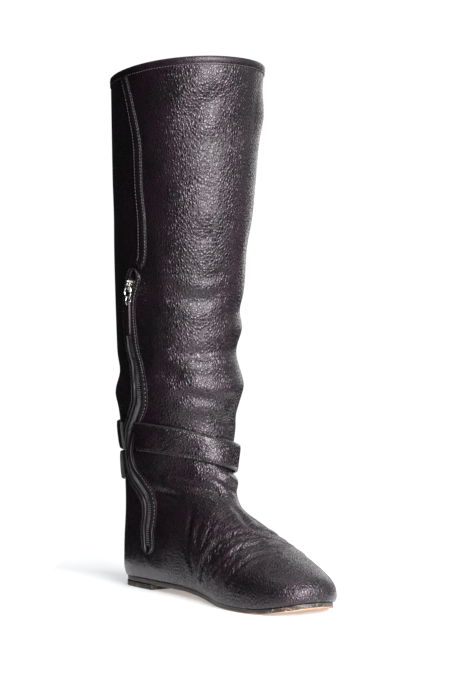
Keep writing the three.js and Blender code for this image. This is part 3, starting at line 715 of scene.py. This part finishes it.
# %% Lining
lining_calf = leather("lining_leather", (0.020, 0.015, 0.013), 0.55, pebble=0.9 * MM, depth=0.05 * MM)
lining = rolled_grid("lining", 110, 150, lambda s, a: onto_sole(skin(s, a, -WALL)))
cut_window(lining, ZIP_WINDOW)
make_active(lining)
bpy.ops.object.mode_set(mode="EDIT")
bpy.ops.mesh.select_all(action="SELECT")
bpy.ops.mesh.flip_normals()
bpy.ops.object.mode_set(mode="OBJECT")
lining.data.materials.append(lining_calf.material)
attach(lining, "boot")
print("lining faces", len(lining.data.polygons))

# %% [markdown]
# ## Bands laid on the leather
# Along the zip the leather is folded under and sewn to the tape, and above the zip the two edges are
# lapped. Each is a strip with a small rounded profile. A curve with a bevel would twist as it climbs. So
# one helper sets the profile square to the leather at every step, bridges the row of profiles into a closed
# skin and caps its ends.

# %% Lofting profiles
def new_piece(name, points, faces, finish):
    """A piece of the boot from points in millimetres, left selected and active."""
    mesh = bpy.data.meshes.new(name)
    mesh.from_pydata((points.reshape(-1, 3) * MM).tolist(), [], faces)
    piece = bpy.data.objects.new(name, mesh)
    bpy.context.collection.objects.link(piece)
    make_active(piece)
    piece.data.materials.append(finish.material)
    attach(piece, "boot")
    return piece


def loft(name, rings, finish, closed=False):
    """A skin through rings (count, points, 3) in millimetres, capped unless it closes on itself."""
    count, n, _ = rings.shape
    faces = []
    for i in range(count if closed else count - 1):
        a, b = i * n, ((i + 1) % count) * n
        faces += [(a + j, a + (j + 1) % n, b + (j + 1) % n, b + j) for j in range(n)]
    if not closed:
        faces += [tuple(range(n))[::-1], tuple(range((count - 1) * n, count * n))]
    piece = new_piece(name, rings, faces, finish)
    bpy.ops.object.mode_set(mode="EDIT")
    bpy.ops.mesh.select_all(action="SELECT")
    bpy.ops.mesh.normals_make_consistent(inside=False)
    bpy.ops.object.mode_set(mode="OBJECT")
    bpy.ops.object.shade_smooth_by_angle(angle=math.radians(40))
    return piece


def band(name, places, profile, finish, count, start=0.0, end=1.0, rounded=0.0):
    """A strip along a line of the medial side; the profile's corners are (across, height)."""
    columns = [beside(places, count, across, height, start, end, rounded) for across, height in profile]
    return loft(name, np.stack(columns, axis=1), finish)


# %% Folded edges of the zip and the lapped seam
EDGE = [
    (3.7, -1.6), (3.6, 0.2), (3.9, 1.1), (4.6, 1.7), (5.6, 1.75), (6.6, 1.35), (7.4, 0.85), (8.2, 0.75),
    (9.0, 0.8), (9.7, 0.35), (9.9, -0.8),
]
band("zip_edge_front", ZIP_LINE, EDGE, welt_leather, 190, rounded=9)
band("zip_edge_back", ZIP_LINE, [(-a, h) for a, h in EDGE], welt_leather, 190, rounded=9)
LAP = [
    (-5.1, -0.5), (-4.9, 0.35), (-4.3, 0.75), (-3.5, 0.4), (-2.6, 0.8), (0.0, 0.95), (2.6, 0.8), (3.5, 0.4),
    (4.3, 0.75), (4.9, 0.35), (5.1, -0.5),
]
band("seam_lap", SEAM_LINE, LAP, welt_leather, 110)
print("zip", round(side_line(ZIP_LINE, 50)[2]), "mm and seam", round(side_line(SEAM_LINE, 50)[2]), "mm long")

# %% [markdown]
# ## Binding of the collar
# The collar's edge is turned over a cord and stitched, so it ends in a soft roll with a groove under it. It
# is the same kind of strip, run right round the collar and closed on itself.

# %% Binding
ROLL = [
    (0.0, -6.3), (0.35, -6.0), (0.5, -5.5), (0.3, -4.9), (0.65, -4.3), (0.8, -1.6), (0.5, 0.2), (-0.3, 0.9),
    (-1.2, 0.9), (-2.2, 0.3), (-2.6, -0.9), (-2.6, -4.5), (-2.4, -5.8), (-1.4, -6.2),
]


def rim(angles, out, up):
    """Points at the collar: out from the leather and up from its edge."""
    s = np.full(len(angles), float(COLLAR))
    edge = skin(s, angles)
    outward = normals_of(slouched, s, angles)
    return edge + outward * out + unit(edge - skin(s - 0.05, angles)) * up


turn = np.linspace(0, 2 * np.pi, 161)[:-1]
roll = np.stack([rim(turn, out, up) for out, up in ROLL], axis=1)
binding = loft("collar_binding", roll, welt_leather, closed=True)
print("binding faces", len(binding.data.polygons))

# %% [markdown]
# ## Ankle strap
# Two bands of doubled leather go round the ankle. The long one starts at the front edge of the zip, crosses
# the front sloping down, and comes round the back; the short one starts behind the zip and tucks under it
# on the lateral side. A flat strip could be wrapped on with a modifier, but where the two overlap, one has
# to stand off. So each is lofted through its own row of angles, heights and clearances. The two cut edges
# are coloured a dead black and made rough, with a pressed groove beside each. That is painted shade for
# the dark shadow lines that run along the strap's upper and lower edges.

# %% Straps
# a strap's profile: share of the width, and height above its underside
OUTSIDE = [
    (0.0, 0.5), (0.01, 1.5), (0.03, 2.2), (0.06, 2.55), (0.085, 2.35), (0.11, 2.65), (0.2, 2.85), (0.35, 3.0),
    (0.5, 3.05),
]
UNDERSIDE = [(0.98, 0.1), (0.67, 0.0), (0.33, 0.0), (0.02, 0.1)]
BAND = OUTSIDE + [(1 - v, h) for v, h in OUTSIDE[-2::-1]] + UNDERSIDE
# the sides listed here get the painted shade of the strap's upper and lower edges
SHADE_PAINTED_SIDES = (0, 1, 14, 15, 16)  # the sides of the profile that are painted edge

# dead black and rough: painted shade for the shadow lines along the strap's edges
strap_edge_shade = Finish("strap_edge_painted_shade", (0.0015, 0.0013, 0.0015), 0.6)
strap_edge_shade.emboss(strap_edge_shade.noise(1.0 * MM, 3), 0.1 * MM, 0.5)


def section_at_height(angle, z):
    low, high = np.full(len(angle), 8.0), np.full(len(angle), float(COLLAR))
    for _ in range(30):
        middle = (low + high) / 2
        below = (last_points(middle, angle) - LAST_MIDDLE)[:, 2] < z
        low, high = np.where(below, middle, low), np.where(below, high, middle)
    return (low + high) / 2


def strap(name, rows, count):
    line = smooth_line(rows, count)
    angle = np.radians(line[:, 0])
    columns = []
    for v, height in BAND:
        s = section_at_height(angle, line[:, 1] + (v - 0.5) * STRAP_WIDTH)
        outward = normals_of(last_points, s, angle)
        columns.append(last_points(s, angle) + outward * (line[:, 2] + height)[:, None])
    piece = loft(name, np.stack(columns, axis=1), strap_leather)
    piece.data.materials.append(strap_edge_shade.material)
    for face in piece.data.polygons:
        face.material_index = int(face.index % len(BAND) in SHADE_PAINTED_SIDES)
    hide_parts(name)
    return piece


for name, rows, count in (("strap_long", LONG_STRAP, 220), ("strap_short", SHORT_STRAP, 140)):
    piece = strap(name, rows, count)
    piece.name = name + "_leather"
    print(piece.name, len(piece.data.polygons), "faces")

# %% [markdown]
# ## Stitches
# One stitch is a small bead, thicker in the middle. A line drawn in the bump would vanish at an angle, and
# real stitches stand up and catch the light. So one bead is modelled, then set down along each row a
# stitch's length apart, all the beads of a row joined in one mesh. It has only a few faces, because there
# are hundreds.

# %% A bead and rows of it
thread = Finish("black_thread", (0.065, 0.06, 0.065), 0.42)
thread.emboss(thread.noise(0.3 * MM, 1), 0.05 * MM, 0.6)


def bead_shape(segments=6, rings=4):
    deselect()
    bpy.ops.mesh.primitive_uv_sphere_add(segments=segments, ring_count=rings, radius=1)
    bead = bpy.context.object
    points = np.array([v.co for v in bead.data.vertices])
    faces = [tuple(f.vertices) for f in bead.data.polygons]
    bpy.data.objects.remove(bead)
    return points, faces


BEAD_POINTS, BEAD_FACES = bead_shape()
MEDIAL = np.array([-1.0, 0, 0])


def beads(name, middles, along, sizes, finish, out=MEDIAL, fullness=1.0):
    """Beads of sizes (along, across, out) in millimetres, joined in one mesh; less fullness is squarer."""
    points = np.sign(BEAD_POINTS) * np.abs(BEAD_POINTS) ** fullness
    along = unit(along)
    side = unit(np.cross(out, along))
    axes = np.stack([along, side, np.cross(along, side)], axis=1)
    placed = middles[:, None] + np.einsum("npk,nkj->npj", points * np.reshape(sizes, (-1, 1, 3)) / 2, axes)
    faces = [tuple(i + k * len(points) for i in f) for k in range(len(middles)) for f in BEAD_FACES]
    piece = new_piece(name, placed, faces, finish)
    bpy.ops.object.shade_smooth()
    return piece


def stitch_row(name, line, size, out=MEDIAL):
    """Stitches centred between the points of a line."""
    beads(name, (line[1:] + line[:-1]) / 2, line[1:] - line[:-1], size, thread, out=out)


STITCH = 2.6  # from one stitch to the next
zip_length = side_line(ZIP_LINE, 50)[2]
seam_length = side_line(SEAM_LINE, 50)[2]
for name, places, length, across, height, rounded in (
        ("stitches_zip_front", ZIP_LINE, zip_length, 7.9, 0.95, 9),
        ("stitches_zip_back", ZIP_LINE, zip_length, -7.9, 0.95, 9),
        ("stitches_seam_front", SEAM_LINE, seam_length, 3.5, 0.6, 4),
        ("stitches_seam_back", SEAM_LINE, seam_length, -3.5, 0.6, 4)):
    line = beside(places, int(length / STITCH) + 1, across, height, rounded=rounded)
    stitch_row(name, line, (STITCH * 0.86, 0.8, 0.7))
COLLAR_STITCHES = 155
ring_of = np.linspace(0, 2 * np.pi, COLLAR_STITCHES + 1)
outward = normals_of(slouched, np.full(COLLAR_STITCHES, float(COLLAR)), (ring_of[1:] + ring_of[:-1]) / 2)
stitch_row("stitches_collar", rim(ring_of, 0.55, -5.6), (2.2, 0.6, 0.5), outward)
print("stitches beside the zip", int(zip_length / STITCH))

# %% [markdown]
# ## Zip
# Behind the folded edges lies a woven tape with a nylon coil down its middle. A real coil is one thread
# wound in a spiral, and only the fronts of its turns show. So it is a row of squarish beads, laid across
# the line a little under two millimetres apart.

# %% Tape and coil
tape_weave = Finish("zip_tape_weave", (0.010, 0.010, 0.012), 0.75)
wave = {"Vector": tape_weave.place, "Scale": 350.0, "Distortion": 1.0}
threads = tape_weave.node("ShaderNodeTexWave", wave, bands_direction="Z").outputs["Fac"]
tape_weave.emboss(threads, 0.12 * MM, 0.8)
coil_nylon = Finish("coil_nylon", (0.17, 0.17, 0.18), 0.32)
coil_nylon.emboss(coil_nylon.noise(0.6 * MM, 2), 0.05 * MM, 0.5)
TAPE = [(-7.0, -2.6), (-7.0, -1.5), (7.0, -1.5), (7.0, -2.6)]
tape = band("zip_tape_cloth", ZIP_LINE, TAPE, tape_weave, 150, 0.01, 0.99)
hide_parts("zip_tape")
PITCH, BAR = 1.8, 0.95
teeth = int(zip_length * 0.90 / PITCH)
left = beside(ZIP_LINE, teeth, -3.1, -0.35, 0.03, 0.93)
right = beside(ZIP_LINE, teeth, 3.1, -0.35, 0.03, 0.93)
wide = np.linalg.norm(right - left, axis=1)
bar_sizes = np.stack([wide, np.full(teeth, BAR), np.full(teeth, BAR)], axis=1)
beads("zip_coil", (left + right) / 2, right - left, bar_sizes, coil_nylon, fullness=0.6)
print(teeth, "bars of coil")

# %% [markdown]
# ## Slider and pull
# The metal is polished nickel. The slider keeps its CAD shape, edges and all, because its bridge has to
# stay clear of the ring. The leather tab is a copy of its CAD shape with rounded edges. Ring and link are
# bent wire, so each is a torus pulled into an oval. The pull's own axes come from the joint it swings on.

# %% Metal and the pull
nickel = Finish("polished_nickel", (0.62, 0.60, 0.56), 0.2, Metallic=1.0)
nickel.feed("Roughness", nickel.ramp(nickel.noise(2 * MM, 3), 0.3, 0.7, 0.14, 0.3))
nickel.emboss(nickel.noise(1.5 * MM, 2), 0.05 * MM, 0.12)
joint = next(j for j in frame["joints"] if j["name"] == "zip_pull")
hinge, hinge_axis = Vector(joint["pos_m"]), Vector(joint["axis"]).normalized()
away = Vector((0, 0, 1)).cross(hinge_axis)
pull_axes = Matrix((hinge_axis, Vector((0, 0, 1)), away)).transposed().to_4x4()
pull_axes.translation = hinge


def own_copy(node, name, finish, body, round_edge):
    """A copy of a CAD node's mesh in its place, its edges rounded by some millimetres or left sharp."""
    piece = bpy.data.objects.new(name, frame["nodes"][node].data.copy())
    bpy.context.collection.objects.link(piece)
    make_active(piece)
    bpy.ops.object.mode_set(mode="EDIT")
    bpy.ops.mesh.select_all(action="SELECT")
    bpy.ops.mesh.remove_doubles(threshold=1e-6)
    bpy.ops.mesh.dissolve_limited(angle_limit=math.radians(2))
    bpy.ops.mesh.normals_make_consistent(inside=False)
    bpy.ops.object.mode_set(mode="OBJECT")
    if round_edge:
        edge = piece.modifiers.new("round", "BEVEL")
        edge.width, edge.segments, edge.angle_limit = round_edge * MM, 2, math.radians(32)
        bpy.ops.object.modifier_apply(modifier=edge.name)
    bpy.ops.object.shade_smooth_by_angle(angle=math.radians(35))
    piece.data.materials.clear()
    piece.data.materials.append(finish.material)
    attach(piece, body)
    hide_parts(node)
    return piece


def oval_ring(name, node, half, drop, wire, centre, quarter_turn):
    """Wire bent to an oval, half its width and its drop given to the wire's middle, below the hinge."""
    deselect()
    bpy.ops.mesh.primitive_torus_add(major_segments=48, minor_segments=14, major_radius=drop * MM,
                                     minor_radius=wire * MM)
    piece = bpy.context.object
    piece.name = name
    shape = Matrix.Diagonal((half / drop, 1, 1, 1))
    swing = Matrix.Rotation(math.pi / 2, 4, "Y") if quarter_turn else Matrix.Identity(4)
    piece.data.transform(pull_axes @ Matrix.Translation((0, centre * MM, 0)) @ swing @ shape)
    bpy.ops.object.shade_smooth()
    piece.data.materials.append(nickel.material)
    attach(piece, "pull")
    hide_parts(node)
    return piece


RING_HALF, RING_DROP, RING_WIRE = 4.2, 5.8, 0.75
LINK_HALF, LINK_DROP, LINK_WIRE = 2.3, 3.3, 0.5
link_middle = -2 * RING_DROP + RING_WIRE + LINK_WIRE + GAP - LINK_DROP
oval_ring("pull_ring", "zip_ring", RING_HALF, RING_DROP, RING_WIRE, -RING_DROP, False)
oval_ring("pull_link", "zip_link", LINK_HALF, LINK_DROP, LINK_WIRE, link_middle, True)
own_copy("zip_slider", "slider", nickel, "boot", 0)
own_copy("zip_tab", "pull_tab", welt_leather, "pull", 0.45)
print("pull hangs from", [round(v, 4) for v in hinge])

# %% [markdown]
# ## Sole
# The outsole is leather, painted black round its edge. Walking has rubbed the lower edge back to tan, most
# round the forefoot, and left pale specks near the toe. The CAD shape is right already, so a copy of it has
# its rims rounded in edit mode, and the worn rim and the tread get the bare leather.

# %% Sole finishes
edge_paint = Finish("painted_edge", (0.010, 0.008, 0.007), 0.42)
layers = edge_paint.noise(1.2 * MM, 3, place=edge_paint.stretched((0.25, 0.25, 2.0)))
edge_paint.emboss(layers, 0.25 * MM, 0.7)
rub = edge_paint.ramp(edge_paint.noise(7 * MM, 6, 0.7, edge_paint.stretched((0.6, 0.6, 2.5))), 0.52, 0.66)
specks = edge_paint.combine(edge_paint.ramp(edge_paint.noise(2.2 * MM, 4, 0.7), 0.60, 0.68),
                        within(edge_paint, ("Y", -0.075, -0.115)), "MULTIPLY")
rubbed = edge_paint.mixed(rub, (0.010, 0.008, 0.007, 1), (0.11, 0.062, 0.038, 1))
edge_paint.feed("Base Color", edge_paint.mixed(specks, rubbed, (0.42, 0.36, 0.31, 1)))
bare_leather = Finish("bare_sole_leather", (0.40, 0.22, 0.12), 0.62)
stain = bare_leather.ramp(bare_leather.noise(16 * MM, 5, 0.6), 0.3, 0.75)
bare_leather.feed("Base Color", bare_leather.mixed(stain, (0.46, 0.27, 0.16, 1), (0.23, 0.11, 0.055, 1)))
bare_leather.emboss(bare_leather.noise(0.8 * MM, 4, place=bare_leather.stretched((1, 0.2, 1))), 0.2 * MM, 0.6)
heel_rubber = Finish("heel_rubber", (0.016, 0.013, 0.012), 0.6)
heel_rubber.emboss(heel_rubber.noise(1.0 * MM, 3), 0.15 * MM, 0.6)
heel_rubber.feed("Base Color", heel_rubber.mixed(heel_rubber.ramp(heel_rubber.noise(6 * MM, 4), 0.45, 0.7),
                                                 (0.016, 0.012, 0.010, 1), (0.10, 0.062, 0.042, 1)))

# %% Sole, heel and insole
def rim_rounded(piece, lower, width, segments):
    """Rounds the rim between the side and the tread (lower) or the top, chosen by the normals beside it."""
    bpy.context.view_layer.objects.active = piece
    bpy.ops.object.mode_set(mode="EDIT")
    mesh = bmesh.from_edit_mesh(piece.data)
    for edge in mesh.edges:
        edge.select = False
    for edge in mesh.edges:
        if len(edge.link_faces) == 2:
            z = sorted(face.normal.z for face in edge.link_faces)
            flat, upright = (z[0], z[1]) if lower else (z[1], z[0])
            edge.select = abs(flat) > 0.85 and (flat < 0) == lower and abs(upright) < 0.5
    bmesh.update_edit_mesh(piece.data)
    bpy.ops.mesh.select_mode(type="EDGE")
    bpy.ops.mesh.bevel(offset=width * MM, segments=segments, affect="EDGES")
    bpy.ops.object.mode_set(mode="OBJECT")


WORN_TO = 0.02
outsole = own_copy("outsole", "outsole_leather", edge_paint, "boot", 0)
rim_rounded(outsole, True, 1.2, 3)
rim_rounded(outsole, False, 0.6, 2)
outsole.data.materials.append(bare_leather.material)
for face in outsole.data.polygons:
    worn_rim = face.center.y < WORN_TO
    face.material_index = int(face.normal.z < (-0.35 if worn_rim else -0.8))
make_active(outsole)
bpy.ops.object.shade_smooth_by_angle(angle=math.radians(30))
own_copy("heel_top_piece", "heel_rubber_piece", heel_rubber, "boot", 0.5)
sock_leather = leather("sock_leather", (0.10, 0.065, 0.04), 0.55, pebble=0.9 * MM, depth=0.05 * MM)
own_copy("insole", "insole_sock", sock_leather, "boot", 0.5)
